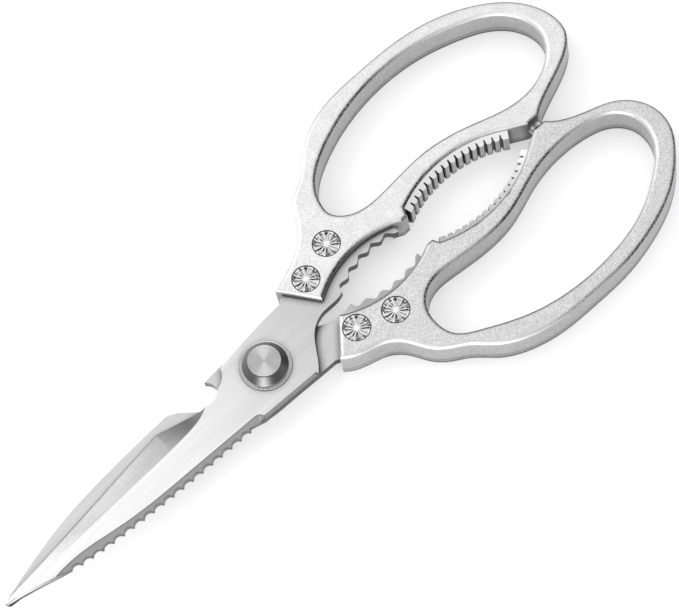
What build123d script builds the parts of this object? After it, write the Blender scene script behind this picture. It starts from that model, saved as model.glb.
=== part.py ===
from build123d import *
import math
import os

# Kitchen shears with steel blades and cast handles, lying flat and closed.
# The pivot axis is Z and crosses the table at the origin.
# The tips point along -X and the finger loops along +X.
# The front blade is the upper one and belongs to the left handle, on the +Y side.

# Heights
handle_thickness = 11.0
blade_thickness = 2.8
bearing_washer_thickness = 0.3
rear_blade_height = 2.7

# Blades, from the pivot to the tips
blade_length = 97.0
blade_half_width = 12.1
edge_thickness = 0.3
lower_chamfer = 0.9
side_chamfer = 0.5

# Outline of the front blade, as shares of blade length and half width
front_tip_shares = ((-0.992, -0.09), (-1.0, -0.01), (-0.996, 0.045))
front_belly_share = (-0.361, 0.605)
front_heel_shares = ((-0.361, 0.605), (-0.29, 0.45), (-0.208, 0.26))
front_notch_shares = ((-0.208, 0.26), (-0.18, 0.222), (-0.145, 0.364))
front_shoulder_shares = ((-0.145, 0.364), (-0.109, 0.54), (-0.095, 0.736))
front_side_share = (0.038, 0.876)
front_lower_shares = ((0.09, -1.0), (0.0, -0.975), (-0.11, -0.94))
front_dip_shares = ((-0.11, -0.94), (-0.14, -0.87), (-0.16, -0.83))
front_spine_shares = (
    (-0.16, -0.89), (-0.35, -0.835), (-0.62, -0.69), (-0.8, -0.48), (-0.9, -0.262), (-0.992, -0.09))

# Stations of the ground bevels: along the blade, cutting edge, inner boundary
front_bevel_shares = (
    (-0.206, 0.36, 0.245), (-0.245, 0.375, 0.115), (-0.285, 0.44, 0.06), (-0.323, 0.525, 0.035),
    (-0.361, 0.605, 0.02), (-1.01, 0.033, -0.13))
rear_bevel_shares = (
    (-0.2, 0.5, 0.42), (-0.245, 0.43, 0.12), (-0.285, 0.45, 0.06), (-0.323, 0.53, 0.035),
    (-0.361, 0.605, 0.02), (-1.01, 0.095, -0.13))

# Outline of the rear blade, mirrored so that its tang lies on the +Y side
rear_tip_shares = ((-0.99, 0.11), (-0.997, 0.0), (-0.993, -0.06))
rear_belly_share = (-0.361, 0.605)
rear_heel_shares = ((-0.361, 0.605), (-0.29, 0.45), (-0.2, 0.45))
rear_side_shares = ((-0.2, 0.45), (-0.13, 0.78), (0.0, 0.89), (0.098, 0.925))
rear_spine_shares = (
    (-0.993, -0.06), (-0.86, -0.35), (-0.73, -0.575), (-0.6, -0.7), (-0.45, -0.775), (-0.305, -0.81))
rear_notch_shares = (
    (-0.305, -0.81), (-0.262, -0.63), (-0.222, -0.33), (-0.18, -0.185), (-0.145, -0.3), (-0.139, -0.5))
rear_hook_shares = ((-0.139, -0.5), (-0.141, -0.64), (-0.154, -0.8))
rear_hook_top_share = (-0.09, -0.835)
rear_corner_share = (0.092, -0.9)

# Fish-scaler edge along the spine of the front blade
scallop_count = 18
scallop_radius = 1.75
scallop_depth = 0.9
scallop_start_share = 0.025
scallop_end_share = 0.745
scaler_shares = ((-0.126, -0.905), (-0.35, -0.84), (-0.62, -0.69), (-0.76, -0.53), (-0.86, -0.58))
scaler_width = 2.1
scaler_rim_depth = 0.2
scaler_edge_depth = 1.8

# Tangs, from the pivot to their ends inside the handles, as a share of handle length
tang_share = 0.4145
tang_reach = 19.0
tang_outer_shares = ((0.284, 0.6), (0.44, 0.82), (0.61, 0.99), (0.72, 0.95), (0.8, 0.71), (0.985, 0.5))
front_neck_shares = ((0.52, 0.04), (0.4, 0.028), (0.31, -0.09), (0.24, -0.34))
rear_neck_shares = ((0.5, 0.12), (0.4, 0.085), (0.32, -0.03), (0.24, -0.3))

# Toothed inner edges of the tangs, centred at a share of tang length
grip_centre_share = 0.811
grip_tip_radius = 28.0
grip_front_rise = 5.15
grip_rear_rise = 5.7
grip_start_angle = 73.0
grip_tooth_angle = 9.45
grip_tooth_count = 6
grip_tooth_height = 1.15

# Handles, from the pivot to the ends of the finger loops
handle_length = 131.5
left_reach = 47.3
right_reach = 49.3
left_outer_shares = (
    (0.126, 0.294), (0.213, 0.395), (0.244, 0.459), (0.268, 0.548), (0.294, 0.658),
    (0.331, 0.717), (0.374, 0.816), (0.426, 0.92), (0.485, 0.978), (0.6, 0.998),
    (0.705, 0.987), (0.81, 0.925), (0.9, 0.8), (0.964, 0.63), (0.991, 0.44),
    (0.985, 0.3), (0.93, 0.172), (0.86, 0.094))
right_outer_shares = (
    (0.119, 0.278), (0.169, 0.352), (0.215, 0.398), (0.244, 0.477), (0.265, 0.58),
    (0.294, 0.662), (0.33, 0.727), (0.375, 0.845), (0.43, 0.931), (0.5, 0.982),
    (0.6, 0.999), (0.7, 0.994), (0.79, 0.948), (0.875, 0.86), (0.947, 0.71),
    (0.985, 0.56), (0.988, 0.41), (0.95, 0.25), (0.875, 0.157))
handle_round = 1.3
handle_back_chamfer = 0.6
mouth_share = 0.184
mouth_inner_y = 2.8
grip_wall_share = 0.3195
grip_wall_crown_y = 8.0
grip_wall_relief = 1.6
peak_width = 2.2
left_peak_y = 4.4
right_peak_y = 5.7
stop_share = 0.772
stop_length = 4.0
stop_y = 0.7
left_inner_shift = 0.0
right_inner_shift = 1.0

# Finger loops: the outer side by the reach of the handle, the inner side by the height of the jaw wall
left_loop_outer_shares = (
    (0.33, 0.475), (0.352, 0.625), (0.438, 0.788), (0.56, 0.886), (0.7, 0.893),
    (0.83, 0.795), (0.925, 0.608), (0.942, 0.395))
left_loop_inner_shares = (
    (0.88, 0.98), (0.785, 0.807), (0.68, 1.215), (0.57, 1.512), (0.44, 1.442), (0.352, 1.67))
right_loop_outer_shares = (
    (0.924, 0.304), (0.944, 0.436), (0.929, 0.578), (0.875, 0.714), (0.795, 0.832), (0.7, 0.892),
    (0.593, 0.9), (0.471, 0.832), (0.373, 0.706), (0.328, 0.612), (0.319, 0.517))
right_loop_inner_shares = (
    (0.331, 1.695), (0.369, 1.356), (0.433, 1.329), (0.532, 1.439), (0.608, 1.356),
    (0.7, 1.017), (0.783, 0.876), (0.867, 0.982))

# Ribbed jaw between the handles
jaw_centre_share = 0.57
jaw_centre_drop = 28.1
jaw_tip_radius = 36.2
jaw_height = 2.1
jaw_start_angle = 56.0
jaw_end_angle = 114.0
rib_count = 16
rib_groove_mouth = 1.2
rib_groove_throat = 0.55
rib_groove_throat_depth = 0.45
rib_groove_floor = 0.4
rib_groove_depth = 1.3
jaw_ledge_drop = 1.2
jaw_slope = 1.3

# Rivets through the handles and tangs, placed by shares of the tang
near_rivet_share = (0.4605, 0.547)
far_rivet_share = (0.668, 0.747)
rivet_head_diameter = 7.6
rivet_head_thickness = 1.7
rivet_barrel_diameter = 4.6
rivet_shank_diameter = 3.0
rivet_ray_count = 14
rivet_ray_inner_radius = 0.7
rivet_rim_width = 0.45
rivet_ray_depth = 0.45
rivet_ray_share = 0.8
rivet_head_sink = 0.15

# Pivot
screw_shank_diameter = 6.0
screw_thread_diameter = 5.0
screw_base_diameter = 13.2
screw_top_diameter = 9.8
screw_flange_height = 0.45
screw_cone_height = 2.6
screw_top_chamfer = 0.25
head_washer_diameter = 14.6
head_washer_flange = 0.45
head_washer_crown_diameter = 13.8
head_washer_crown_height = 0.5
head_washer_tooth_count = 44
head_washer_tooth_depth = 0.35
bearing_washer_diameter = 14.0
spring_washer_diameter = 12.0
spring_washer_thickness = 0.4
spring_washer_rise = 0.3
nut_thickness = 2.0
nut_across_flats = 10.0
nut_chamfer = 0.4

# Stop pin between the ends of the handles
stop_pin_diameter = 3.8
stop_pin_depth = 3.6
stop_pin_dome_radius = 2.3
stop_pin_clearance = 0.3

# Clearances and the overrun of cuts
fit_clearance = 0.05
thread_clearance = 0.02
overrun = 1.0

# Places, levels and lengths that follow from the sizes above
tang_length = tang_share * handle_length
grip_centre_x = grip_centre_share * tang_length
mouth_inner_x = mouth_share * handle_length
grip_wall_crown_x = grip_wall_share * handle_length
stop_x = stop_share * handle_length
jaw_centre_x = jaw_centre_share * handle_length
rear_blade_top = rear_blade_height + blade_thickness
front_blade_floor = rear_blade_top + bearing_washer_thickness
front_blade_top = front_blade_floor + blade_thickness
jaw_wall_radius = jaw_tip_radius + jaw_height
jaw_wall_crown = jaw_wall_radius - jaw_centre_drop
shank_radius = screw_shank_diameter / 2
barrel_radius = rivet_barrel_diameter / 2
head_radius = rivet_head_diameter / 2
rivet_shank_radius = rivet_shank_diameter / 2
thread_radius = screw_thread_diameter / 2
head_washer_top = front_blade_top + head_washer_flange + head_washer_crown_height


def spot(share, length, reach):
    return (share[0] * length, share[1] * reach)


def spots(shares, length, reach):
    return [spot(share, length, reach) for share in shares]


def blade_spots(shares):
    return spots(shares, blade_length, blade_half_width)


def on_circle(centre, radius, angle):
    turn = math.radians(angle)
    return (centre[0] + radius * math.cos(turn), centre[1] + radius * math.sin(turn))


def upright(face, floor, height):
    return Pos(0, 0, floor) * extrude(face, height)


def drum(radius, floor, top, centre=(0, 0)):
    return Pos(centre[0], centre[1], floor) * extrude(Circle(radius), top - floor)


def turned(points):
    # Body of revolution about Z from (radius, height) points
    return revolve(Plane.XZ * make_face(Polyline(*points, close=True)), Axis.Z)


# Blades

def grip_wave(rise):
    # Smooth teeth from the closed end of the tang: tips on one circle, hollows on a larger one
    centre = (grip_centre_x, rise - grip_tip_radius)
    end_x = tang_length * tang_outer_shares[-1][0]
    end_y = centre[1] + math.sqrt(grip_tip_radius ** 2 - (end_x - centre[0]) ** 2)
    points = [(end_x, end_y)]
    for index in range(grip_tooth_count):
        tip_angle = grip_start_angle + index * grip_tooth_angle
        if index > 0:
            hollow_angle = tip_angle - grip_tooth_angle / 2
            points.append(on_circle(centre, grip_tip_radius + grip_tooth_height, hollow_angle))
        points.append(on_circle(centre, grip_tip_radius, tip_angle))
    return points


def side_spots():
    # Straight side of the front blade up to the handle
    side = spot(front_side_share, blade_length, blade_half_width)
    return [side, spot(tang_outer_shares[0], tang_length, tang_reach)]


def front_outline():
    outer = spots(tang_outer_shares, tang_length, tang_reach)
    neck = spots(front_neck_shares, tang_length, tang_reach)
    lower = blade_spots(front_lower_shares)
    spine = blade_spots(front_spine_shares)
    tip = blade_spots(front_tip_shares)
    grip = grip_wave(grip_front_rise)
    dip = blade_spots(front_dip_shares)
    edges = [
        ThreePointArc(*tip),
        Line(tip[-1], spot(front_belly_share, blade_length, blade_half_width)),
        Spline(*blade_spots(front_heel_shares)),
        ThreePointArc(*blade_spots(front_notch_shares)),
        ThreePointArc(*blade_spots(front_shoulder_shares)),
        Spline(blade_spots(front_shoulder_shares)[-1], *side_spots()),
        Polyline(*outer),
        Line(outer[-1], grip[0]),
        Spline(*grip),
        Spline(grip[-1], *neck, lower[0]),
        ThreePointArc(*lower),
        ThreePointArc(*dip),
        Line(dip[-1], spine[0]),
        Spline(*spine),
    ]
    return make_face(edges)


def rear_outline():
    outer = spots(tang_outer_shares, tang_length, tang_reach)
    neck = spots(rear_neck_shares, tang_length, tang_reach)
    tip = blade_spots(rear_tip_shares)
    side = blade_spots(rear_side_shares)
    hook = blade_spots(rear_hook_shares)
    hook_top = spot(rear_hook_top_share, blade_length, blade_half_width)
    corner = spot(rear_corner_share, blade_length, blade_half_width)
    grip = grip_wave(grip_rear_rise)
    edges = [
        ThreePointArc(*tip),
        Line(tip[0], spot(rear_belly_share, blade_length, blade_half_width)),
        Spline(*blade_spots(rear_heel_shares)),
        Spline(*side, outer[0]),
        Polyline(*outer),
        Line(outer[-1], grip[0]),
        Spline(*grip),
        Spline(grip[-1], *neck, corner),
        Line(corner, hook_top),
        Line(hook_top, hook[-1]),
        ThreePointArc(*hook),
        Spline(*blade_spots(rear_notch_shares)),
        Spline(*blade_spots(rear_spine_shares)),
    ]
    return make_face(edges)


def bevel_section(station):
    # Area ground away at one station of the bevel, wider than the blade by the overrun
    x = station[0] * blade_length
    edge_y = station[1] * blade_half_width
    inner_y = station[2] * blade_half_width
    slope = (blade_thickness - edge_thickness) / (edge_y - inner_y)
    outer_y = edge_y + overrun
    outer_z = blade_thickness - slope * (outer_y - inner_y)
    top = blade_thickness + overrun
    points = [(inner_y, blade_thickness), (outer_y, outer_z), (outer_y, top), (inner_y, top)]
    plane = Plane(origin=(x, 0, 0), x_dir=(0, 1, 0), z_dir=(1, 0, 0))
    return plane * make_face(Polyline(*points, close=True))


def bevel(stations):
    # Smooth run-in at the heel, then one straight grind from the belly to the tip
    sections = [bevel_section(station) for station in stations]
    return loft(sections[:-1]) + loft(sections[-2:], ruled=True)


def ground_strip(path, section):
    # Cutter swept along an edge of the blade, from (inward, height) points
    inward = (path % 0).rotate(Axis.Z, -90)
    plane = Plane(origin=path @ 0, x_dir=inward, z_dir=-(path % 0))
    return sweep(plane * make_face(Polyline(*section, close=True)), path=path)


def edge_chamfer(path, size):
    top = blade_thickness + overrun
    floor = blade_thickness - size - overrun
    section = [(-overrun, floor), (size, blade_thickness), (size, top), (-overrun, top)]
    return ground_strip(path, section)


def scaler_pocket():
    # Sloping pocket ground along the spine: it starts in a cone and runs out past the edge near the tip
    path = Spline(*blade_spots(scaler_shares))
    top = blade_thickness + overrun
    rim = blade_thickness - scaler_rim_depth
    floor = blade_thickness - scaler_edge_depth
    section = [
        (-scaler_width, floor), (0, floor), (scaler_width, rim), (scaler_width, top),
        (-scaler_width, top)]
    pocket = ground_strip(path, section)
    cone = turned([(0, floor), (scaler_width, rim), (scaler_width, top), (0, top)])
    for end in (path @ 0, path @ 1):
        pocket = pocket + Pos(end.X, end.Y) * cone
    return pocket


def rivet_spots():
    return spots((near_rivet_share, far_rivet_share), tang_length, tang_reach)


def blade_holes():
    # Pivot bore and the two rivet holes of a tang
    top = blade_thickness + overrun
    holes = [drum(shank_radius + fit_clearance, -overrun, top)]
    for place in rivet_spots():
        holes.append(drum(barrel_radius + fit_clearance, -overrun, top, place))
    return holes


def front_blade():
    # Built with its ground face up at the table, then lifted to its level
    outline = front_outline()
    spine = Spline(*blade_spots(front_spine_shares))
    step = (scallop_end_share - scallop_start_share) / (scallop_count - 1)
    for index in range(scallop_count):
        along = scallop_start_share + index * step
        outward = (spine % along).rotate(Axis.Z, 90)
        centre = (spine @ along) + outward * (scallop_radius - scallop_depth)
        outline = outline - Pos(centre.X, centre.Y) * Circle(scallop_radius)
    blade = upright(outline, 0, blade_thickness)
    side = Spline(blade_spots(front_shoulder_shares)[-1], *side_spots())
    blade = blade - edge_chamfer(ThreePointArc(*blade_spots(front_lower_shares)), lower_chamfer)
    blade = blade - edge_chamfer(side, side_chamfer)
    blade = blade - bevel(front_bevel_shares) - scaler_pocket()
    for hole in blade_holes():
        blade = blade - hole
    return Pos(0, 0, front_blade_floor) * blade


def rear_blade():
    # Built like the front blade, then turned over so that its ground face looks down
    blade = upright(rear_outline(), 0, blade_thickness) - bevel(rear_bevel_shares)
    for hole in blade_holes():
        blade = blade - hole
    return Pos(0, 0, rear_blade_top) * Rot(180, 0, 0) * blade


# Handles

def tang_slot(tang_floor):
    # Slot for the tang, open at the mouth and toward the other handle
    outer = spots(tang_outer_shares, tang_length, tang_reach)
    points = outer + [(outer[-1][0], -overrun), (outer[0][0], -overrun)]
    tang = make_face(Polyline(*points, close=True))
    slot = offset(tang, fit_clearance, kind=Kind.INTERSECTION)
    return upright(slot, tang_floor - fit_clearance, blade_thickness + 2 * fit_clearance)


def loop_spots(outer_shares, inner_shares, reach, shift):
    outer = spots(outer_shares, handle_length, reach)
    return outer + spots(inner_shares, handle_length, shift + jaw_wall_crown)


def grip_wall_spots(shift, peak_y):
    # End of the peak, crown and mouth of the wall beside the teeth
    wall_end = on_circle((jaw_centre_x, shift - jaw_centre_drop), jaw_wall_radius, jaw_end_angle)
    peak_end = (wall_end[0] - peak_width / 2 - peak_width, peak_y)
    crown = (grip_wall_crown_x, shift + grip_wall_crown_y)
    return [peak_end, crown, (mouth_inner_x, shift + mouth_inner_y)]


def handle_outline(outer, shift, peak_y):
    # Outer sweep, then the stop, the jaw wall, the peak, the grip wall and the mouth
    centre = (jaw_centre_x, shift - jaw_centre_drop)
    wall_start = on_circle(centre, jaw_wall_radius, jaw_start_angle)
    wall_middle = on_circle(centre, jaw_wall_radius, (jaw_start_angle + jaw_end_angle) / 2)
    wall_end = on_circle(centre, jaw_wall_radius, jaw_end_angle)
    peak = (wall_end[0] - peak_width / 2, peak_y)
    grip_wall = grip_wall_spots(shift, peak_y)
    stop = (stop_x, shift + stop_y)
    stop_end = (stop_x + stop_length, shift + stop_y)
    edges = [
        Spline(*outer, stop_end),
        Line(stop_end, stop),
        Line(stop, wall_start),
        ThreePointArc(wall_start, wall_middle, wall_end),
        Line(wall_end, peak),
        Line(peak, grip_wall[0]),
        ThreePointArc(*grip_wall),
        Line(grip_wall[-1], outer[0]),
    ]
    return make_face(edges)


def handle_casting(outer, loop, shift, peak_y):
    # Cast body with rounded front edges and a small chamfer at the back
    opening = make_face(Spline(*loop, periodic=True))
    body = upright(handle_outline(outer, shift, peak_y) - opening, 0, handle_thickness)
    body = chamfer(body.faces().sort_by(Axis.Z)[0].edges(), handle_back_chamfer)
    return fillet(body.faces().sort_by(Axis.Z)[-1].edges(), handle_round)


def ribbed_jaw():
    # Band of upright ribs on the jaw wall, sloped at its upper and lower end
    root = jaw_wall_radius + overrun
    top = handle_thickness - jaw_ledge_drop
    profile = [
        (jaw_tip_radius, jaw_slope), (jaw_wall_radius, handle_back_chamfer), (root, handle_back_chamfer),
        (root, top), (jaw_wall_radius, top), (jaw_tip_radius, top - jaw_slope)]
    turn = math.radians(jaw_start_angle)
    plane = Plane(
        origin=(jaw_centre_x, -jaw_centre_drop, 0),
        x_dir=(math.cos(turn), math.sin(turn), 0),
        z_dir=(math.sin(turn), -math.cos(turn), 0))
    axis = Axis((jaw_centre_x, -jaw_centre_drop, 0), (0, 0, 1))
    section = plane * make_face(Polyline(*profile, close=True))
    band = revolve(section, axis, jaw_end_angle - jaw_start_angle)
    mouth = rib_groove_mouth / 2
    throat = rib_groove_throat / 2
    floor = rib_groove_floor / 2
    start = jaw_tip_radius - mouth
    waist = jaw_tip_radius + rib_groove_throat_depth
    end = jaw_tip_radius + rib_groove_depth
    groove = make_face(Polyline(
        (start, mouth), (jaw_tip_radius, mouth), (waist, throat), (end, floor),
        (end, -floor), (waist, -throat), (jaw_tip_radius, -mouth), (start, -mouth), close=True))
    step = (jaw_end_angle - jaw_start_angle) / rib_count
    for index in range(1, rib_count):
        place = Pos(jaw_centre_x, -jaw_centre_drop) * Rot(0, 0, jaw_start_angle + index * step)
        band = band - extrude(place * groove, handle_thickness)
    return band


def rivet_holes():
    # Through bores with a counterbore for the head at each face
    holes = []
    top = handle_thickness + overrun
    depth = rivet_head_sink + rivet_head_thickness
    for place in rivet_spots():
        holes.append(drum(barrel_radius + fit_clearance, -overrun, top, place))
        holes.append(drum(head_radius + fit_clearance, -overrun, depth, place))
        holes.append(drum(head_radius + fit_clearance, handle_thickness - depth, top, place))
    return holes


def handle(outer, loop, shift, peak_y, tang_floor):
    body = handle_casting(outer, loop, shift, peak_y)
    body = body + Pos(0, shift) * ribbed_jaw() - tang_slot(tang_floor)
    for hole in rivet_holes():
        body = body - hole
    return body


def stop_pin_place():
    # Middle of the stop pin on the end wall of the left handle, with its axis along -Y
    x = stop_x + stop_length / 2
    return Pos(x, left_inner_shift + stop_y, handle_thickness / 2) * Rot(90, 0, 0)


def left_handle():
    # The wall beside the teeth is set back below the tang
    bore = drum(stop_pin_diameter / 2 + thread_clearance, -stop_pin_depth, overrun)
    wall = grip_wall_spots(left_inner_shift, left_peak_y)
    lip = make_face([ThreePointArc(*wall), Line(wall[-1], wall[0])])
    relief = Pos(0, grip_wall_relief) * upright(lip, -overrun, front_blade_floor + overrun)
    outer = spots(left_outer_shares, handle_length, left_reach)
    loop = loop_spots(left_loop_outer_shares, left_loop_inner_shares, left_reach, left_inner_shift)
    body = handle(outer, loop, left_inner_shift, left_peak_y, front_blade_floor)
    return body - relief - stop_pin_place() * bore


def right_handle():
    # Shaped on the +Y side and mirrored, with the tang slot at the level of the rear blade
    outer = spots(right_outer_shares, handle_length, right_reach)
    loop = loop_spots(right_loop_outer_shares, right_loop_inner_shares, right_reach, right_inner_shift)
    body = handle(outer, loop, right_inner_shift, right_peak_y, rear_blade_height)
    return mirror(body, about=Plane.XZ)


def stop_pin():
    # Pin with a domed end that meets the other handle when the shears are closed
    radius = stop_pin_diameter / 2
    tip = 2 * stop_y + left_inner_shift + right_inner_shift - stop_pin_clearance
    centre = tip - stop_pin_dome_radius
    spread = math.asin(radius / stop_pin_dome_radius)
    shoulder = centre + stop_pin_dome_radius * math.cos(spread)
    crown_x = stop_pin_dome_radius * math.sin(spread / 2)
    crown_z = centre + stop_pin_dome_radius * math.cos(spread / 2)
    profile = make_face([
        Line((0, -stop_pin_depth), (radius, -stop_pin_depth)),
        Line((radius, -stop_pin_depth), (radius, shoulder)),
        ThreePointArc((radius, shoulder), (crown_x, crown_z), (0, tip)),
        Line((0, tip), (0, -stop_pin_depth)),
    ])
    return stop_pin_place() * revolve(Plane.XZ * profile, Axis.Z)


# Rivets

def rayed_head():
    # Disc with its face at the top, cut by grooves that spread from the middle to the rim
    disc = drum(head_radius, -rivet_head_thickness, 0)
    outer = head_radius - rivet_rim_width
    half = math.pi * outer / rivet_ray_count * rivet_ray_share
    ray = make_face(Polyline((rivet_ray_inner_radius, 0), (outer, half), (outer, -half), close=True))
    cutter = extrude(ray, rivet_ray_depth)
    for index in range(rivet_ray_count):
        disc = disc - Rot(0, 0, index * 360 / rivet_ray_count) * Pos(0, 0, -rivet_ray_depth) * cutter
    return disc


def rivet_front(place):
    # Upper half, with the solid shank
    top = handle_thickness - rivet_head_sink
    floor = rivet_head_sink + rivet_head_thickness + fit_clearance
    shank = drum(rivet_shank_radius, floor, top - rivet_head_thickness)
    return Pos(*place) * (Pos(0, 0, top) * rayed_head() + shank)


def rivet_rear(place):
    # Lower half, with the barrel that takes the shank
    floor = rivet_head_sink + rivet_head_thickness
    top = handle_thickness - floor - fit_clearance
    bore = drum(rivet_shank_radius + thread_clearance, floor, top + overrun)
    barrel = drum(barrel_radius, floor, top) - bore
    head = Pos(0, 0, rivet_head_sink) * Rot(180, 0, 0) * rayed_head()
    return Pos(*place) * (head + barrel)


# Pivot

def pivot_screw():
    # Shoulder screw with a cone-shaped head
    base = screw_base_diameter / 2
    top = screw_top_diameter / 2
    cone_top = head_washer_top + screw_flange_height + screw_cone_height
    shoulder = rear_blade_height
    points = [
        (0, 0), (thread_radius, 0), (thread_radius, shoulder), (shank_radius, shoulder),
        (shank_radius, head_washer_top), (base, head_washer_top),
        (base, head_washer_top + screw_flange_height), (top, cone_top - screw_top_chamfer),
        (top - screw_top_chamfer, cone_top), (0, cone_top)]
    return turned(points)


def head_washer():
    # Flange on the front blade with a toothed crown under the screw head
    flange_top = front_blade_top + head_washer_flange
    washer = drum(head_washer_diameter / 2, front_blade_top, flange_top)
    crown_radius = head_washer_crown_diameter / 2
    crown = drum(crown_radius, flange_top, head_washer_top)
    depth = head_washer_tooth_depth
    notch = Rot(0, 0, 45) * Rectangle(depth, depth)
    for index in range(head_washer_tooth_count):
        place = Rot(0, 0, index * 360 / head_washer_tooth_count) * Pos(crown_radius, 0)
        crown = crown - Pos(0, 0, flange_top) * extrude(place * notch, head_washer_crown_height)
    return washer + crown - drum(shank_radius + fit_clearance, 0, handle_thickness + overrun)


def bearing_washer():
    ring = drum(bearing_washer_diameter / 2, rear_blade_top, front_blade_floor)
    return ring - drum(shank_radius + fit_clearance, 0, handle_thickness)


def spring_washer():
    # Dished ring between the rear blade and the nut
    inner = shank_radius + fit_clearance
    outer = spring_washer_diameter / 2
    top = rear_blade_height
    outer_floor = top - spring_washer_thickness
    inner_top = top - spring_washer_rise
    return turned([(inner, nut_thickness), (outer, outer_floor), (outer, top), (inner, inner_top)])


def pivot_nut():
    blank = extrude(RegularPolygon(nut_across_flats / 2, 6, major_radius=False), nut_thickness)
    blank = chamfer(blank.faces().sort_by(Axis.Z)[0].edges(), nut_chamfer)
    return blank - drum(thread_radius + thread_clearance, -overrun, nut_thickness + overrun)


def save(shape, name):
    export_step(shape, "parts/" + name + ".step")


def main():
    os.makedirs("parts", exist_ok=True)
    save(front_blade(), "front_blade")
    save(rear_blade(), "rear_blade")
    save(left_handle(), "left_handle")
    save(right_handle(), "right_handle")
    for name, (x, y) in zip(("near", "far"), rivet_spots()):
        for side, turn in (("left", 1), ("right", -1)):
            save(rivet_front((x, turn * y)), side + "_" + name + "_rivet_front")
            save(rivet_rear((x, turn * y)), side + "_" + name + "_rivet_rear")
    save(pivot_screw(), "pivot_screw")
    save(head_washer(), "head_washer")
    save(bearing_washer(), "bearing_washer")
    save(spring_washer(), "spring_washer")
    save(pivot_nut(), "pivot_nut")
    save(stop_pin(), "stop_pin")


main()
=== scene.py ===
import math

import bpy
from bpy.props import FloatProperty, FloatVectorProperty, PointerProperty
from bpy.types import Operator, Panel, PropertyGroup, Scene
from mathutils import Matrix, Vector


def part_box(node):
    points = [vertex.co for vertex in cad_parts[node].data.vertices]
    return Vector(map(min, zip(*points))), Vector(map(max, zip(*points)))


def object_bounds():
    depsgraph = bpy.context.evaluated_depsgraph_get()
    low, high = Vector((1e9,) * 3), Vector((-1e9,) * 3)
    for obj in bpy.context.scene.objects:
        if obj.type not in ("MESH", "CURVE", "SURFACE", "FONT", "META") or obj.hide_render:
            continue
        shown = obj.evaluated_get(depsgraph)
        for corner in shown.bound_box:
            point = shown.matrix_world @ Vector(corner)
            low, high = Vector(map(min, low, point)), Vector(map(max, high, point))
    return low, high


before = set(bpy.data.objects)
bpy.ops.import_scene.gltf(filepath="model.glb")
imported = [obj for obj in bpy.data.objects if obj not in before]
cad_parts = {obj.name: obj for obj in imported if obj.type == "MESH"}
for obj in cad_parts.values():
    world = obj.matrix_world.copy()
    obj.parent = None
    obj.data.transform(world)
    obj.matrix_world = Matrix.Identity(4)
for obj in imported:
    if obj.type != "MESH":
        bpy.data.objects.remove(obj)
cad_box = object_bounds()

bl_info = {
    "name": "Kitchen Shears",
    "version": (1, 0, 0),
    "blender": (4, 5, 0),
    "location": "3D View > Sidebar > Shears",
    "description": "Finishes a pair of cast-handled kitchen shears and sets their stage",
    "category": "Object",
}

MM = 0.001
IMAGE_WIDTH = 679
IMAGE_HEIGHT = 610
SENSOR_WIDTH = 36
RIVET_PLACES = ("near", "far")
BLACK = (0.0, 0.0, 0.0)
WHITE = (1.0, 1.0, 1.0)
# Keeps the X and Y of a place and drops its Z
ACROSS = (1.0, 1.0, 0.0)
# Middle of a solid in coordinates that run from 0 to 1 over its box
BOX_MIDDLE = (0.5, 0.5, 0.0)
# Sockets of a Mix node for colours, which have the same names as its sockets for values
FACTOR, FIRST, SECOND, MIXED = 0, 6, 7, 2
# Samples of the nodes that look for hollows and edges
LOOK_SAMPLES = 6

# Spans of noise: nearly all of its values, its middle, and spans that leave single patches
NOISE = (0.3, 0.7)
NOISE_MIDDLE = (0.35, 0.65)
NOISE_PATCHES = (0.66, 0.44)
NOISE_STROKES = (0.475, 0.54)
NOISE_ROUGHNESS = 0.55

# Spans of how open the surroundings are, from a face to a deep hollow, of how well a rounded normal
# matches the real one, from a face to a sharp edge, and of how deep a ray of a rivet is, from where
# its painted shade begins to where it is full
OPEN_TO_DEEP = (0.95, 0.45)
SMOOTH_TO_SHARP = (0.995, 0.9)
RAY_SHADE = (0.3, 0.62)

# Spans of how level a surface lies, from 0 on an upright wall to 1 on a level face
BLADE_LEVEL = (0.975, 0.995)
BLADE_WALL = (0.35, 0.2)
HANDLE_LEVEL = (0.4, 0.95)
HANDLE_WALL = (0.3, 0.0)
BEND_FROM_WALL = (0.1, 0.35)
BEND_FROM_FACE = (0.94, 0.74)
RIB_LEVEL = (0.4, 0.6)
TURNED_TOP = (0.8, 0.98)

# Spans of one part of the normal: toward the spine of a blade along Y, toward the left handle along
# +Y, the side on which the blanked edges are painted lighter, and toward the tips along -X
SPINE_SIDE = (0.1, 0.3)
LIT_SIDE = (-0.2, 0.2)
TIP_SIDE = (0.1, -0.4)

# Spans of depth under a side: a blade's flat face, a handle's rounded edge, and where the upper
# ends of the jaw ribs begin and end
FACE_DEPTH = (0.15 * MM, 0.05 * MM)
BEND_DEPTH = (1.18 * MM, 1.05 * MM)
RIB_START = (1.1 * MM, 1.2 * MM)
RIB_END = (4 * MM, 3 * MM)
# Span of the way off the parting line of a handle
SEAM_SPAN = (0.35 * MM, 0.15 * MM)

# Spans of the way out over a rivet head, as a share of its width
STROKES_BEGIN = (0.1, 0.2)
RIM_BEGINS = (0.4, 0.44)

# Roughness where a pattern is low and where it is high
BLADE_ROUGHNESS = (0.26, 0.38)
HANDLE_ROUGHNESS = (0.4, 0.55)
RIVET_ROUGHNESS = (0.22, 0.34)
TURNED_ROUGHNESS = (0.28, 0.4)

# Lamps: place, width and height
KEY_LAMP = ((-0.4, 0.9, 0.85), 0.9, 0.9)
LOW_LAMP = ((-0.8, -0.6, 0.13), 0.5, 0.2)
# Part of the way up to the zenith at which the world is fully lit
OVERHEAD = 0.75
# Gap that keeps the floor from touching the shears
FLOOR_GAP = 0.05 * MM


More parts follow.
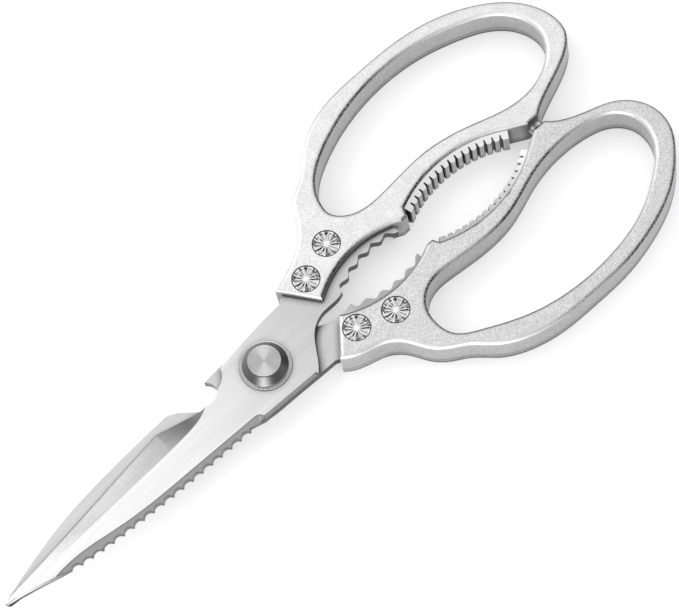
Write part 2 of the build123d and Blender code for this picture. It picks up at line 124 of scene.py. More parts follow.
def linear(code):
    # sRGB hex to linear colour
    values = []
    for start in (0, 2, 4):
        value = int(code[start:start + 2], 16) / 255
        values.append(value / 12.92 if value <= 0.04045 else ((value + 0.055) / 1.055) ** 2.4)
    return values


def colour(name, description, code):
    return FloatVectorProperty(
        name=name, description=description, subtype="COLOR", size=3, min=0, max=1,
        default=linear(code))


def size(name, description, default):
    return FloatProperty(
        name=name, description=description, subtype="DISTANCE", unit="LENGTH", default=default)


def share(name, description, default):
    return FloatProperty(name=name, description=description, subtype="FACTOR", default=default)


def angle(name, description, degrees):
    return FloatProperty(
        name=name, description=description, subtype="ANGLE", unit="ROTATION",
        default=math.radians(degrees))


def power(name, description, default):
    return FloatProperty(
        name=name, description=description, subtype="POWER", unit="POWER", default=default)


class BladeFinish(PropertyGroup):
    front: colour("Front blade", "Brushed face of the front blade", "F4F4F4")
    # The front blade's face is darker toward its handle
    front_shoulder: colour(
        "Front shoulder", "Duller brushing of the front blade toward its handle", "CECECE")
    rear: colour("Rear blade", "Brushed face of the rear blade", "D2D2D2")
    # The rear blade's tang is darker beside its handle
    rear_tang: colour("Rear tang", "Duller tang of the rear blade beside its handle", "B4B4B4")
    # Painted shade on the ground bevel at the heel, fading to a painted reflection toward the tip
    bevel_heel_shade: colour("Bevel at the heel", "Ground bevel where the wheel runs in", "767676")
    bevel_tip_highlight: colour("Bevel toward the tip", "Ground bevel along the cutting edge", "FFFFFF")
    pocket: colour("Scaler pocket", "Hollow grind behind the scaler teeth", "B2B2B2")
    # Painted shade: the blanked edges are darker than the faces, darkest on the tang behind the
    # pivot and lighter on the +Y side
    edge: colour("Cut edges", "Blanked and chamfered edges of the blades", "7C7C7C")
    edge_tang_shade: colour("Tang edges", "Darker blanked edges behind the pivot", "4C4C4C")
    edge_lit_side: colour(
        "Clean edges", "Brighter blanked edges on the side of the left handle", "B0B0B0")
    # Painted shade where one part lies on another, along the ground corners and along the foot of
    # the point
    shade: colour("Joints", "Grey film where one part lies on another", "2C2C2C")
    # Painted highlight on the corners of the faces, on the chamfers behind the root and on the
    # edges of the point
    rim: colour("Rubbed corners", "Bright corners of the blades and edges of the point", "F4F4F4")
    streak_length: size("Streak length", "Length of a brushing streak", 26 * MM)
    streak_width: size(
        "Streak width", "Width of a brushing streak, as coarse as it needs to be to show",
        0.34 * MM)
    streak_depth: size("Streak depth", "Depth of a brushing streak", 0.02 * MM)
    streak_relief: share("Streak relief", "Strength of the relief of the streaks", 0.14)
    streak_tone: share("Streak tone", "Tone of the darkest brushing streaks", 0.92)
    band_length: size("Band length", "Length of the broad bands in the brushing", 104 * MM)
    band_width: size("Band width", "Width of the broad bands in the brushing", 3.2 * MM)
    band_tone: share("Band tone", "Tone of the darkest broad bands", 0.95)
    cross_length: size("Cross streak length", "Length of a streak across a ground bevel", 4.08 * MM)
    cross_tone: share("Cross streak tone", "Tone of the darkest streaks across a bevel", 0.88)
    shoulder_start: size(
        "Shoulder start", "Place along the blade where the shoulder tone is full", 20 * MM)
    shoulder_end: size(
        "Shoulder end", "Place along the blade where the shoulder tone is gone", -34 * MM)
    heel_start: size(
        "Heel start", "Place along the blade where the heel tone begins to fade", -22 * MM)
    heel_end: size("Heel end", "Place along the blade where the tip tone is full", -62 * MM)
    root_start: size(
        "Root start", "Place along the blade where the film on its ground corners begins to fade",
        -12 * MM)
    root_end: size("Root end", "Place along the blade where that film is gone", -8 * MM)
    tang_start: size("Tang start", "Place along the blade where the tang tone begins", 26 * MM)
    tang_end: size("Tang end", "Place along the blade where the tang tone is full", 31 * MM)
    point_start: size(
        "Point start", "Place along the blade where the edges begin to be polished", -80 * MM)
    point_end: size(
        "Point end", "Place along the blade where the edges are fully polished", -90 * MM)
    # Painted shade: a dark line along the foot of the point
    foot_start: size(
        "Foot line start", "Height at which the dark line along the foot of the point is full",
        1.2 * MM)
    foot_end: size("Foot line end", "Height at which that line is gone", 1.4 * MM)
    foot_shade: share("Foot line film", "Strength of the line along the foot of the point", 0.95)
    # Painted shade along the ground corners
    corner_width: size("Corner width", "Width of the film along the ground corners", 0.55 * MM)
    corner_shade: share("Corner film", "Strength of the film along the ground corners", 0.85)
    # Painted highlight along the corners of the faces
    rub_width: size("Rubbed width", "Width of the bright corners of the faces", 0.25 * MM)
    rub: share("Rubbing", "Strength of the bright corners of the faces", 0.6)
    # Painted shade at the joints
    joint_reach: size("Joint reach", "Width of the dark film at a joint", 0.5 * MM)
    joint_shadow: size("Joint shadow", "Width of the paler film round a joint", 2.4 * MM)
    joint_shade: share("Joint film", "Strength of the film at a joint", 0.8)


class HandleFinish(PropertyGroup):
    left_face: colour("Left faces", "Blasted faces of the left handle", "FAFAFA")
    right_face: colour("Right faces", "Blasted faces of the right handle", "F0F0F0")
    # Painted shade: the walls are darker than the faces, over their coarser as-cast grain
    wall: colour("Walls", "As-cast skin of the side walls", "D0D0D0")
    # Painted shade in the hollows, on the rounded edges that face away from the tips and along the
    # foot of the walls; also the dark joints round the rivets, the outlines of the rib tops and the
    # parting line
    grime_and_shade: colour("Crevices", "Grey film left in grooves and round the rivets", "303030")
    # Edges that are partly worn bright and partly painted highlight where the rounded edges face
    # the tips
    worn_and_highlit: colour("Worn edges", "Edges rubbed bright by the hand", "F2F2F2")
    # Painted highlight on the upper ends of the jaw ribs
    rib_top_highlight: colour("Rib tops", "Upper ends of the jaw ribs, rubbed bright", "F8F8F8")
    grain_size: size(
        "Grain size", "Size of the blasted grain, as coarse as it needs to be to show", 0.34 * MM)
    grain_depth: size("Grain depth", "Depth of the blasted grain", 0.05 * MM)
    grain_relief: share("Grain relief", "Strength of the relief of the grain", 0.5)
    left_sparkle: share("Left sparkle", "Tone of the darkest grain on the left faces", 0.7)
    right_sparkle: share("Right sparkle", "Tone of the darkest grain on the right faces", 0.58)
    wall_sparkle: share("Wall sparkle", "Tone of the darkest grain on the walls", 0.52)
    cloud_size: size("Cloud size", "Size of the soft tone changes of the casting", 5 * MM)
    cloud_tone: share("Cloud tone", "Tone of the darkest soft changes", 0.94)
    # Painted shade in patches on the rounded edges that face away from the tips
    bend_shade: share("Bend film", "Least film on the grain of the rounded edges", 0.3)
    # Strengths of the painted shade in the hollows of the walls and of the faces
    wall_shade: share("Wall film", "Strength of the film in the hollows of the walls", 0.8)
    face_shade: share("Face film", "Strength of the film in the hollows of the faces", 0.2)
    # Near ends that face the tips keep less painted shade, which leaves them lighter
    end_place: size(
        "End place", "Place along the shears up to which the near ends are rubbed clean", 26 * MM)
    end_fade: size("End fade", "Length over which that rubbing ends", 2 * MM)
    end_shade: share("End film", "Film that is left on the near ends, as a share", 0.25)
    # Widths of the grooves and hollows that get painted shade
    groove_reach: size("Groove reach", "Width of the grooves that hold a film", 1.5 * MM)
    hollow_reach: size("Hollow reach", "Width of the hollows beside other parts", 4 * MM)
    rub_width: size("Rubbed width", "Width of the worn edges", 0.35 * MM)
    rub: share("Rubbing", "Strength of the worn edges", 0.6)
    rib_highlight: share("Rib rubbing", "Strength of the bright rib tops", 0.8)
    rib_outline: size("Rib outline", "Width of the dark outline of the rib tops", 0.2 * MM)
    seam_height: size(
        "Seam height", "Height of the parting line over the lower side of a handle", 2.7 * MM)
    seam_film: share("Seam film", "Strength of the parting line", 0.35)
    # Painted shade along the foot of the walls
    foot_start: size(
        "Foot film start", "Height at which the dark film along the lower side is full",
        1.12 * MM)
    foot_end: size("Foot film end", "Height at which that film is gone", 1.4 * MM)
    foot_shade: share("Foot film", "Strength of the film along the lower side", 0.7)
    ring_width: size("Ring width", "Width of the dark joint round each rivet head", 0.38 * MM)
    ring_core: share("Ring core", "Share of that width in which the joint is fully dark", 0.6)


class FastenerFinish(PropertyGroup):
    rivet: colour("Rivets", "Coined rivet heads", "FAFAFA")
    # Painted shade in the rays of the rivet heads and in the turned corners, and the dark strokes
    # over the rivet heads
    groove_shade_and_strokes: colour("Rivet grooves", "Film left in the rays of the rivet heads", "141414")
    disc: colour("Pivot disc", "Spun face of the pivot screw", "D0D0D0")
    disc_dark: colour("Pivot disc, dark", "Dark turning rings of the pivot screw", "B0B0B0")
    # Painted shade and reflection: the turned side of the pivot screw is darker than its top
    cone: colour("Pivot cone", "Turned side of the pivot screw", "606060")
    washer: colour("Washers", "Bright washers and nut", "F0F0F0")
    coin_grain: size("Coined grain", "Size of the grain of the rivet heads", 0.25 * MM)
    coin_depth: size("Coined depth", "Depth of the grain of the rivet heads", 0.02 * MM)
    relief: share(
        "Relief", "Strength of the relief of the rivet heads and the turning rings", 0.2)
    coin_tone: share("Coined tone", "Tone of the darkest grain of the rivet heads", 0.88)
    ray_reach: size("Ray reach", "Width of the pressed rays of the rivet heads", 0.8 * MM)
    # Patches in the painted shade of the rays
    shade_patch_size: size("Film size", "Size of the patches of film in the rays", 0.7 * MM)
    shade_least: share("Least film", "Film where its patches are thin, as a share", 0.75)
    shade_most: share("Most film", "Film where its patches are thick, as a share", 1.25)
    stroke_width: share(
        "Stroke width", "Width of a dark stroke, as a share of its way out from the middle", 0.16)
    stroke_length: share(
        "Stroke length", "Length of a dark stroke, as a share of the 7.6 mm head", 0.3)
    stroke_gap: share("Stroke gap", "Film in a ray between its dark strokes, as a share", 0.38)
    stroke_land: share("Strokes on the lands", "Film of the strokes on the lands", 0.3)
    stroke_rim: share("Strokes on the rim", "Film of the strokes on the rim", 0.8)
    ring_pitch: size(
        "Turning pitch", "Distance between turning rings, as coarse as it needs to be to show",
        0.28 * MM)
    ring_depth: size("Turning depth", "Depth of the turning rings", 0.015 * MM)
    ring_spread: share("Light fans", "How far the rings spread the light into fans", 0.95)
    # Painted shade in the turned corners
    joint_reach: size("Joint reach", "Width of the film in the turned corners", 0.5 * MM)
    joint_shade: share("Joint film", "Strength of the film in the turned corners", 0.6)
    rub_width: size("Rubbed width", "Width of the bright turned edges", 0.25 * MM)
    rub: share("Rubbing", "Strength of the bright turned edges", 0.8)


class StageSettings(PropertyGroup):
    floor: colour("Floor", "Plain pale floor", "DEDEDE")
    floor_lift: share("Floor lift", "Even white added to the floor where it is seen", 0.42)
    floor_size: size("Floor size", "Side of the floor", 6.0)
    tilt: angle("Camera tilt", "Angle between the pivot axis and the line of sight", 23.4)
    lean: angle("Camera lean", "Direction in the image toward which the pivot axis leans", 105)
    heading: angle("Camera heading", "Direction in the image of the handles' side", 42)
    distance: size(
        "Camera distance", "Distance from the camera to the plane of the blade face", 1.0)
    focal: share("Focal length", "Focal length as a multiple of the image width", 5.302)
    across: share("Pivot across", "Place of the pivot from the left side of the image", 0.39146)
    down: share("Pivot down", "Place of the pivot from the top of the image", 0.6)
    face_height: size("Face height", "Height of the upper blade face", 8.6 * MM)
    key_power: power("Key power", "Power of the large soft lamp behind the shears", 5.0)
    low_power: power("Low power", "Power of the small low lamp in front of the tips", 4.0)
    world_light: share("World light", "Strength of the even light from overhead", 1.0)
    horizon_light: share(
        "Horizon light", "Light near the horizon, as a share of the light overhead", 0.35)


def add(tree, kind, inputs=(), **settings):
    # Adds a node, sets its options, sets or links its inputs by order or by name, and gives its
    # outputs
    node = tree.nodes.new("ShaderNode" + kind)
    for name, value in settings.items():
        setattr(node, name, value)
    for key, value in inputs.items() if isinstance(inputs, dict) else enumerate(inputs):
        if isinstance(value, bpy.types.NodeSocket):
            tree.links.new(value, node.inputs[key])
        else:
            node.inputs[key].default_value = value
    return node.outputs


def rgba(value):
    # Colour with full alpha; a colour that comes from a node stays as it is
    return value if isinstance(value, bpy.types.NodeSocket) else (*value, 1.0)


def mask(tree, *terms):
    # Product of masks, each from 0, empty, to 1, full; a value with the start and end of a span
    # stands for the mask that fills up over that span
    product = None
    for term in terms:
        if isinstance(term, tuple):
            term = add(tree, "MapRange", term)["Result"]
        if product is not None:
            term = add(tree, "Math", (product, term), operation="MULTIPLY")["Value"]
        product = term
    return product


def lay(tree, base, *coats):
    # Lays coats over a base, the first one lowest, each by its mask
    for cover, coat in coats:
        sockets = {FACTOR: cover, FIRST: rgba(base), SECOND: rgba(coat)}
        base = add(tree, "Mix", sockets, data_type="RGBA")[MIXED]
    return base


def pattern(tree, place, sizes, detail=2.0, seed=0.0):
    # Noise whose grain has the given real sizes along X, Y and Z, as a value from 0 to 1; a real
    # grain that is too fine to show is drawn as coarse as it needs to be
    scale = tuple(1 / value for value in sizes)
    scaled = add(tree, "VectorMath", (place, scale), operation="MULTIPLY")["Vector"]
    moved = add(tree, "VectorMath", (scaled, (seed, seed, seed)), operation="ADD")["Vector"]
    return add(tree, "TexNoise", {
        "Vector": moved, "Scale": 1.0, "Detail": detail, "Roughness": NOISE_ROUGHNESS})["Fac"]


def mottle(tree, base, noise, darkest, span=NOISE):
    # Darkens a base where a pattern is low, down to a share of its tone
    tone = add(tree, "MapRange", (noise, *span, darkest, 1.0))["Result"]
    return lay(tree, BLACK, (tone, base))


def crevices(tree, reach, alone=True):
    # 1 in grooves and joints, 0 on open faces, of one solid alone or also where it meets others
    openness = add(
        tree, "AmbientOcclusion", {"Distance": reach}, samples=LOOK_SAMPLES,
        only_local=alone)["AO"]
    return mask(tree, (openness, *OPEN_TO_DEEP))


def rubbed_edges(tree, reach):
    # 1 on sharp outer edges, found by how far a rounded normal leaves the real one
    rounded = add(tree, "Bevel", {"Radius": reach}, samples=LOOK_SAMPLES)["Normal"]
    real = add(tree, "NewGeometry")["Normal"]
    match = add(tree, "VectorMath", (rounded, real), operation="DOT_PRODUCT")["Value"]
    return mask(tree, (match, *SMOOTH_TO_SHARP))


def survey(tree, node):
    # Place on a solid, whole and by its parts, normal by its parts, how level the surface lies,
    # from 0 to 1, height over the solid's lower side and depth under its upper side
    where = add(tree, "TexCoord")
    at, normal = (
        add(tree, "SeparateXYZ", (where[name],)) for name in ("Object", "Normal"))
    flatness = add(tree, "Math", (normal["Z"],), operation="ABSOLUTE")["Value"]
    low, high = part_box(node)
    rise = add(tree, "Math", (at["Z"], low.z), operation="SUBTRACT")["Value"]
    depth = add(tree, "Math", (high.z, at["Z"]), operation="SUBTRACT")["Value"]
    return where["Object"], at, normal, flatness, rise, depth


def new_material(name):
    material = bpy.data.materials.new(name)
    material.use_nodes = True
    material.node_tree.nodes.clear()
    return material, material.node_tree


def finish_metal(tree, base, roughness, relief, depth, height, **more):
    # Metal shader, with the typical index left as it is, over the relief of a pattern
    bump = add(tree, "Bump", {"Strength": relief, "Distance": depth, "Height": height})
    shader = add(tree, "BsdfPrincipled", {
        "Base Color": base, "Metallic": 1.0, "Roughness": roughness,
        "Normal": bump["Normal"], **more})
    add(tree, "OutputMaterial", {"Surface": shader["BSDF"]})


def dress(node, material):
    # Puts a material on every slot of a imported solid
    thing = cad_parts[node]
    if not thing.material_slots:
        thing.data.materials.append(material)
    for slot in thing.material_slots:
        slot.material = material


def blade_material(node, finish, spine_side, tones):
    # Stainless steel, blanked, brushed along the blade and ground at the edge: fine straight
    # streaks on the faces, short cross streaks on every ground face, painted shade on the bevel at
    # the heel and a painted reflection toward the tip, grey blanked edges in painted shade that is
    # darker at the tang and lighter on the +Y side, bright at the point, and painted shade in the
    # corners and joints
    material, tree = new_material("stainless_brushed_" + node)
    place, at, normal, flatness, rise, depth = survey(tree, node)
    along = {}
    for name in ("shoulder", "heel", "root", "tang", "point"):
        start, end = getattr(finish, name + "_start"), getattr(finish, name + "_end")
        along[name] = mask(tree, (at["X"], start, end))
    sunk = add(tree, "Math", (depth, rise), operation="MINIMUM")["Value"]
    level = mask(tree, (flatness, *BLADE_LEVEL))
    flat = mask(tree, level, (sunk, *FACE_DEPTH))
    wall = mask(tree, (flatness, *BLADE_WALL))
    length, width, band = finish.streak_length, finish.streak_width, finish.band_width
    streaks = pattern(tree, place, (length, width, width))
    bands = pattern(tree, place, (finish.band_length, band, band), detail=1.0, seed=7.0)
    cross = pattern(tree, place, (width, finish.cross_length, finish.cross_length), seed=3.0)

    shoulder_tone, blade_tone, tang_tone = tones
    face = lay(
        tree, shoulder_tone, (along["shoulder"], blade_tone), (along["tang"], tang_tone))
    face = mottle(tree, face, streaks, finish.streak_tone)
    face = mottle(tree, face, bands, finish.band_tone)

    # Ground bevel with painted shade at the heel and a painted reflection toward the tip, painted
    # highlight on the chamfers behind the root, and the tone of the pocket on the side of the spine
    facing = add(tree, "Math", (normal["Y"], spine_side), operation="MULTIPLY")["Value"]
    spine = mask(tree, (facing, *SPINE_SIDE))
    spine = add(tree, "Math", (spine, level), operation="MAXIMUM")["Value"]
    ground = lay(
        tree, finish.bevel_heel_shade, (along["heel"], finish.bevel_tip_highlight), (along["root"], finish.rim),
        (spine, finish.pocket))
    ground = mottle(tree, ground, cross, finish.cross_tone)

    # Blanked edges in painted shade, darker behind the root and lighter on the +Y side, bright at
    # the point, with a painted dark line along the foot of the point
    left = mask(tree, (normal["Y"], *LIT_SIDE))
    foot = add(tree, "MapRange", (
        rise, finish.foot_end, finish.foot_start, 0.0, finish.foot_shade))["Result"]
    edge = lay(
        tree, finish.edge, (along["root"], finish.edge_tang_shade), (left, finish.edge_lit_side),
        (along["point"], finish.rim), (mask(tree, foot, along["point"]), finish.shade))

    # Painted shade along the ground corners and in the joints, painted highlight on the corners
    # round the faces
    cut = mask(tree, (along["root"], 1.0, 0.0))
    kept = add(tree, "Math", (spine, cut), operation="MAXIMUM")["Value"]
    off_face = add(tree, "MapRange", (flat, 0.0, 1.0, finish.corner_shade, 0.0))["Result"]
    kept = mask(tree, kept, off_face)
    corners = mask(tree, rubbed_edges(tree, finish.corner_width), kept)
    rubbed = mask(tree, rubbed_edges(tree, finish.rub_width), flat, finish.rub)
    body = lay(
        tree, ground, (flat, face), (wall, edge), (corners, finish.shade), (rubbed, finish.rim))
    for reach in (finish.joint_reach, finish.joint_shadow):
        joint = mask(tree, crevices(tree, reach, alone=False), finish.joint_shade)
        body = lay(tree, body, (joint, finish.shade))

    roughness = add(tree, "MapRange", (streaks, *NOISE, *BLADE_ROUGHNESS))["Result"]
    height = lay(tree, cross, (flat, streaks))
    finish_metal(tree, body, roughness, finish.streak_relief, finish.streak_depth, height)
    return material


def handle_material(side, finish, face, sparkle):
    # Aluminium alloy, die cast and bead blasted: soft even sheen with a fine sparkle on the faces,
    # a coarser grain on the walls, which are painted darker as shade, painted shade in the hollows,
    # and bright edges that are partly wear and partly painted highlight
    material, tree = new_material("aluminium_cast_blasted_" + side)
    place, at, normal, flatness, rise, depth = survey(tree, side + "_handle")
    level = mask(tree, (flatness, *HANDLE_LEVEL))
    grain = pattern(tree, place, (finish.grain_size,) * 3)
    clouds = pattern(tree, place, (finish.cloud_size,) * 3, detail=3.0, seed=11.0)
    darkest = add(tree, "MapRange", (level, 0.0, 1.0, finish.wall_sparkle, sparkle))["Result"]
    body = lay(tree, finish.wall, (level, face))
    body = mottle(tree, body, grain, darkest)
    body = mottle(tree, body, clouds, finish.cloud_tone, NOISE_MIDDLE)

    # Rounded edges: painted highlight where they face the tips, patches of painted shade elsewhere
    bend = mask(
        tree, (flatness, *BEND_FROM_WALL), (flatness, *BEND_FROM_FACE), (depth, *BEND_DEPTH))
    clean = mask(tree, (normal["X"], *TIP_SIDE))
    away_from_tips = add(tree, "Math", (1.0, clean), operation="SUBTRACT")["Value"]
    patches = add(tree, "MapRange", (grain, *NOISE_PATCHES, finish.bend_shade, 1.0))["Result"]
    body = lay(
        tree, body, (mask(tree, bend, patches, away_from_tips), finish.grime_and_shade),
        (mask(tree, bend, clean), finish.worn_and_highlit))

    # Painted shade in the hollows, thin on the faces and on the near ends
    shade_strength = add(tree, "MapRange", (level, 0.0, 1.0, finish.wall_shade, finish.face_shade))["Result"]
    end = mask(tree, clean, (at["X"], finish.end_place + finish.end_fade, finish.end_place))
    left_over = add(tree, "MapRange", (end, 0.0, 1.0, 1.0, finish.end_shade))["Result"]
    shade_strength = mask(tree, shade_strength, left_over)
    for reach, alone in ((finish.groove_reach, True), (finish.hollow_reach, False)):
        body = lay(tree, body, (mask(tree, crevices(tree, reach, alone), shade_strength), finish.grime_and_shade))
    body = lay(
        tree, body, (mask(tree, rubbed_edges(tree, finish.rub_width), finish.rub), finish.worn_and_highlit))

    # Upper ends of the jaw ribs: painted highlight, in a thin dark outline
    ledge = add(tree, "MapRange", (flatness, *RIB_LEVEL, 0.0, finish.rib_highlight))["Result"]
    ledge = mask(tree, (depth, *RIB_START), (depth, *RIB_END), ledge)
    outline = mask(tree, rubbed_edges(tree, finish.rib_outline), ledge)
    body = lay(tree, body, (ledge, finish.rib_top_highlight), (outline, finish.grime_and_shade))

    # Painted shade along the foot of the walls and a faint line at the parting of the mould
    foot = add(tree, "MapRange", (
        rise, finish.foot_end, finish.foot_start, 0.0, finish.foot_shade))["Result"]
    off_seam = add(tree, "Math", (rise, finish.seam_height), operation="SUBTRACT")["Value"]
    off_seam = add(tree, "Math", (off_seam,), operation="ABSOLUTE")["Value"]
    seam = add(tree, "MapRange", (off_seam, *SEAM_SPAN, 0.0, finish.seam_film))["Result"]
    lines = add(tree, "Math", (foot, seam), operation="ADD")["Value"]
    lines = mask(tree, lines, (level, *HANDLE_WALL))
    body = lay(tree, body, (lines, finish.grime_and_shade))

    # Dark joint round each rivet head
    across = add(tree, "VectorMath", (place, ACROSS), operation="MULTIPLY")["Vector"]
    for rivet in RIVET_PLACES:
        low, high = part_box("%s_%s_rivet_front" % (side, rivet))
        middle = (low + high) / 2
        radius = (high.x - low.x) / 2
        away = add(tree, "VectorMath", (
            across, (middle.x, middle.y, 0.0)), operation="DISTANCE")["Value"]
        core = radius + finish.ring_core * finish.ring_width
        ring = mask(tree, (away, radius + finish.ring_width, core), level)
        body = lay(tree, body, (ring, finish.grime_and_shade))

    roughness = add(tree, "MapRange", (grain, *NOISE, *HANDLE_ROUGHNESS))["Result"]
    finish_metal(tree, body, roughness, finish.grain_relief, finish.grain_depth, grain)
    return material


def rivet_material(name, finish):
    # Stainless steel, coined: bright lands, and painted shade in the pressed rays that is broken
    # into dark strokes, some of which cross the lands and the rim
    material, tree = new_material(name)
    where = add(tree, "TexCoord")
    grain = pattern(tree, where["Object"], (finish.coin_grain,) * 3)
    film = pattern(tree, where["Object"], (finish.shade_patch_size,) * 3, detail=1.0, seed=9.0)
    film = add(tree, "MapRange", (
        film, *NOISE_MIDDLE, finish.shade_least, finish.shade_most))["Result"]
    film = mask(tree, crevices(tree, finish.ray_reach), film)
    film = mask(tree, (film, *RAY_SHADE))

    # Strokes are drawn by their direction from the middle of the head and their way out
    middle = add(tree, "VectorMath", (
        where["Generated"], BOX_MIDDLE), operation="SUBTRACT")["Vector"]
    across = add(tree, "VectorMath", (middle, ACROSS), operation="MULTIPLY")["Vector"]
    out = add(tree, "VectorMath", (across,), operation="LENGTH")["Value"]
    direction = add(tree, "VectorMath", (across,), operation="NORMALIZE")["Vector"]
    lift = add(tree, "CombineXYZ", {"Z": out})["Vector"]
    polar = add(tree, "VectorMath", (direction, lift), operation="ADD")["Vector"]
    width, length = finish.stroke_width, finish.stroke_length
    strokes = pattern(tree, polar, (width, width, length), detail=1.0, seed=4.0)
    strokes = mask(tree, (strokes, *NOISE_STROKES), (out, *STROKES_BEGIN))

    rays = add(tree, "MapRange", (strokes, 0.0, 1.0, finish.stroke_gap, 1.0))["Result"]
    rays = mask(tree, film, rays)
    lands = add(tree, "MapRange", (
        out, *RIM_BEGINS, finish.stroke_land, finish.stroke_rim))["Result"]
    lands = mask(tree, strokes, lands)
    dark = add(tree, "Math", (rays, lands), operation="MAXIMUM")["Value"]
    body = lay(tree, finish.rivet, (dark, finish.groove_shade_and_strokes))
    body = mottle(tree, body, grain, finish.coin_tone)
    roughness = add(tree, "MapRange", (grain, *NOISE, *RIVET_ROUGHNESS))["Result"]
    finish_metal(tree, body, roughness, finish.relief, finish.coin_depth, grain)
    return material


def turned_material(name, finish, face, side):
    # Steel, turned and spun-brushed about the pivot axis: rings that spread the light into fans, a
    # side in its own tone, painted dark on the screw as shade and reflection, painted shade in the
    # corners and bright edges
    material, tree = new_material(name)
    where = add(tree, "TexCoord")
    at, normal = (
        add(tree, "SeparateXYZ", (where[name],)) for name in ("Object", "Normal"))
    across = add(tree, "VectorMath", (where["Object"], ACROSS), operation="MULTIPLY")["Vector"]
    away = add(tree, "VectorMath", (across,), operation="LENGTH")["Value"]
    line = add(tree, "CombineXYZ", {"X": away, "Z": at["Z"]})["Vector"]
    rings = pattern(tree, line, (finish.ring_pitch,) * 3, seed=5.0)
    top = mask(tree, (normal["Z"], *TURNED_TOP))
    tone = lay(tree, finish.disc_dark, (mask(tree, (rings, *NOISE)), face))
    film = mask(tree, crevices(tree, finish.joint_reach), finish.joint_shade)
    rubbed = mask(tree, rubbed_edges(tree, finish.rub_width), finish.rub)
    body = lay(tree, side, (top, tone), (film, finish.groove_shade_and_strokes), (rubbed, finish.washer))
    roughness = add(tree, "MapRange", (top, 0.0, 1.0, *TURNED_ROUGHNESS))["Result"]
    tangent = add(tree, "Tangent", direction_type="RADIAL", axis="Z")["Tangent"]
    finish_metal(
        tree, body, roughness, finish.relief, finish.ring_depth, rings,
        Anisotropic=finish.ring_spread, Tangent=tangent)
    return material


class FinishBlades(Operator):
    """Brushes and grinds the two blades"""
    bl_idname = "shears.finish_blades"
    bl_label = "Finish blades"

    def execute(self, context):
        finish = context.scene.shears_blades
        # The front blade has its spine on the -Y side and the rear blade on the +Y side
        for node, spine_side, tones in (
                ("front_blade", -1.0, (finish.front_shoulder, finish.front, finish.front_shoulder)),
                ("rear_blade", 1.0, (finish.rear, finish.rear, finish.rear_tang))):
            dress(node, blade_material(node, finish, spine_side, tones))
        return {"FINISHED"}


class FinishHandles(Operator):
    """Blasts the two cast handles"""
    bl_idname = "shears.finish_handles"
    bl_label = "Finish handles"

    def execute(self, context):
        finish = context.scene.shears_handles
        for side, face, sparkle in (
                ("left", finish.left_face, finish.left_sparkle),
                ("right", finish.right_face, finish.right_sparkle)):
            dress(side + "_handle", handle_material(side, finish, face, sparkle))
        return {"FINISHED"}


class FinishRivets(Operator):
    """Coins the rivet heads"""
    bl_idname = "shears.finish_rivets"
    bl_label = "Finish rivets"

    def execute(self, context):
        material = rivet_material("stainless_coined", context.scene.shears_fasteners)
        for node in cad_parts:
            if "rivet" in node:
                dress(node, material)
        return {"FINISHED"}


class FinishPivot(Operator):
    """Turns and polishes the pivot screw, its washers, its nut and the stop pin"""
    bl_idname = "shears.finish_pivot"
    bl_label = "Finish pivot"

    def execute(self, context):
        finish = context.scene.shears_fasteners
        dress("pivot_screw", turned_material(
            "steel_turned_spun", finish, finish.disc, finish.cone))
        bright = turned_material("steel_turned_bright", finish, finish.washer, finish.washer)
        for node in ("head_washer", "bearing_washer", "spring_washer", "pivot_nut", "stop_pin"):
            dress(node, bright)
        return {"FINISHED"}


def seen_rays(tree):
    # 1 where the camera looks, straight or by way of metal or glass
    path = add(tree, "LightPath")
    seen = path["Is Camera Ray"]
    for kind in ("Is Glossy Ray", "Is Transmission Ray"):
        seen = add(tree, "Math", (seen, path[kind]), operation="ADD")["Value"]
    return mask(tree, (seen, 0.0, 1.0))


def lay_floor(scene, stage):
    # Matt paper floor, flat: no gloss, so only the soft shadow shows
    half = stage.floor_size / 2
    corners = [(-half, -half, 0), (half, -half, 0), (half, half, 0), (-half, half, 0)]
    mesh = bpy.data.meshes.new("floor")
    mesh.from_pydata(corners, [], [(0, 1, 2, 3)])
    floor = bpy.data.objects.new("floor", mesh)
    scene.collection.objects.link(floor)
    floor.location.z = cad_box[0][2] - FLOOR_GAP
    material, tree = new_material("paper_matt")
    paper = add(tree, "BsdfDiffuse", {"Color": rgba(stage.floor)})
    lift = mask(tree, seen_rays(tree), stage.floor_lift)
    white = add(tree, "Emission", {"Color": rgba(WHITE), "Strength": lift})
    both = add(tree, "AddShader", (paper["BSDF"], white["Emission"]))
    add(tree, "OutputMaterial", {"Surface": both["Shader"]})
    mesh.materials.append(material)


def hang_lamp(scene, name, place, width, height, watts):
    # Soft lamp that faces the pivot
    data = bpy.data.lights.new(name, "AREA")
    data.shape = "RECTANGLE"
    data.size = width
    data.size_y = height
    data.energy = watts
    lamp = bpy.data.objects.new(name, data)
    scene.collection.objects.link(lamp)
    lamp.location = place
    lamp.rotation_euler = (Vector(place) * -1).to_track_quat("-Z", "Y").to_euler()


def light_world(scene, stage):
    # White studio that is darker toward the horizon, and full white where the camera sees it
    world = bpy.data.worlds.new("studio")
    scene.world = world
    world.use_nodes = True
    tree = world.node_tree
    tree.nodes.clear()
    where = add(tree, "TexCoord")
    rise = add(tree, "SeparateXYZ", (where["Generated"],))["Z"]
    overhead = add(tree, "MapRange", (rise, 0.0, OVERHEAD, stage.horizon_light, 1.0))["Result"]
    seen = add(tree, "MapRange", (seen_rays(tree), 0.0, 1.0, stage.world_light, 1.0))["Result"]
    even = add(tree, "Background", {"Color": rgba(WHITE), "Strength": mask(tree, overhead, seen)})
    add(tree, "OutputWorld", {"Surface": even["Background"]})


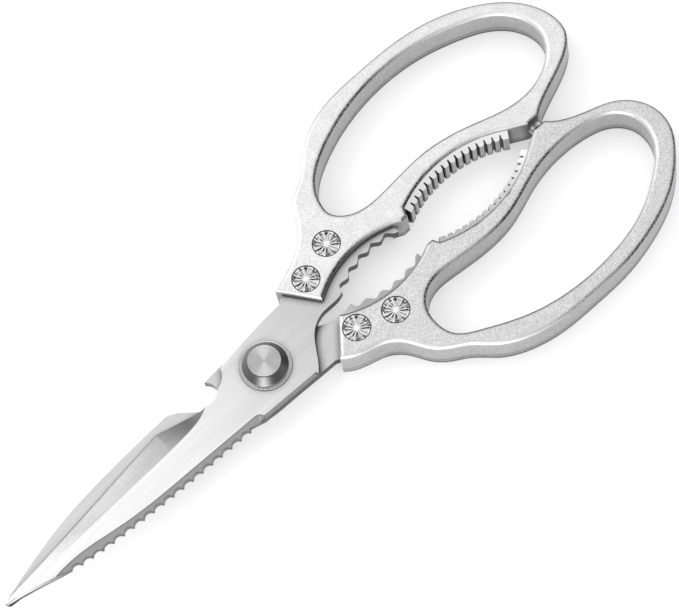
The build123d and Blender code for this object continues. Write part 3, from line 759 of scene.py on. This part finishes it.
def camera_place(stage):
    # Camera that sees the pivot at its place in the image and the handles at their heading
    out = Vector((math.sin(stage.tilt) * math.cos(stage.lean),
                  math.sin(stage.tilt) * math.sin(stage.lean), math.cos(stage.tilt)))
    along = Vector((math.cos(stage.heading), math.sin(stage.heading), 0))
    along.z = -(out.x * along.x + out.y * along.y) / out.z
    along.normalize()
    axes = Matrix((along, out.cross(along), out)).transposed()
    ray = Vector((
        (stage.across - 0.5) / stage.focal,
        (0.5 - stage.down) * IMAGE_HEIGHT / IMAGE_WIDTH / stage.focal, -1))
    pivot = ray * (-out.z * stage.distance / out.dot(ray))
    origin = pivot - axes @ Vector((0, 0, stage.face_height))
    back = axes.transposed()
    place = back.to_4x4()
    place.translation = -(back @ origin)
    return place


def set_camera(scene, stage):
    data = bpy.data.cameras.new("camera")
    data.sensor_width = SENSOR_WIDTH
    data.lens = SENSOR_WIDTH * stage.focal
    camera = bpy.data.objects.new("camera", data)
    scene.collection.objects.link(camera)
    camera.matrix_world = camera_place(stage)
    scene.camera = camera


class SetStage(Operator):
    """Lays the floor and sets the lamps, the world and the camera"""
    bl_idname = "shears.set_stage"
    bl_label = "Set stage"

    def execute(self, context):
        scene = context.scene
        stage = scene.shears_stage
        lay_floor(scene, stage)
        hang_lamp(scene, "key", *KEY_LAMP, stage.key_power)
        hang_lamp(scene, "low", *LOW_LAMP, stage.low_power)
        light_world(scene, stage)
        scene.view_settings.view_transform = "Standard"
        set_camera(scene, stage)
        return {"FINISHED"}


SETTINGS = (
    ("shears_blades", BladeFinish), ("shears_handles", HandleFinish),
    ("shears_fasteners", FastenerFinish), ("shears_stage", StageSettings))
OPERATORS = (FinishBlades, FinishHandles, FinishRivets, FinishPivot, SetStage)


class ShearsPanel(Panel):
    """Lists the steps that finish the shears"""
    bl_idname = "VIEW3D_PT_shears"
    bl_label = "Kitchen Shears"
    bl_space_type = "VIEW_3D"
    bl_region_type = "UI"
    bl_category = "Shears"

    def draw(self, context):
        for operator in OPERATORS:
            self.layout.operator(operator.bl_idname)
        for name, group in SETTINGS:
            box = self.layout.box()
            box.label(text=group.__name__)
            for key in group.__annotations__:
                box.prop(getattr(context.scene, name), key)


def register():
    for name, group in SETTINGS:
        bpy.utils.register_class(group)
        setattr(Scene, name, PointerProperty(type=group))
    for operator in OPERATORS:
        bpy.utils.register_class(operator)
    bpy.utils.register_class(ShearsPanel)


def unregister():
    bpy.utils.unregister_class(ShearsPanel)
    for operator in OPERATORS:
        bpy.utils.unregister_class(operator)
    for name, group in SETTINGS:
        delattr(Scene, name)
        bpy.utils.unregister_class(group)


def main():
    register()
    bpy.ops.shears.finish_blades()
    bpy.ops.shears.finish_handles()
    bpy.ops.shears.finish_rivets()
    bpy.ops.shears.finish_pivot()
    bpy.ops.shears.set_stage()


if __name__ == "__main__":
    main()
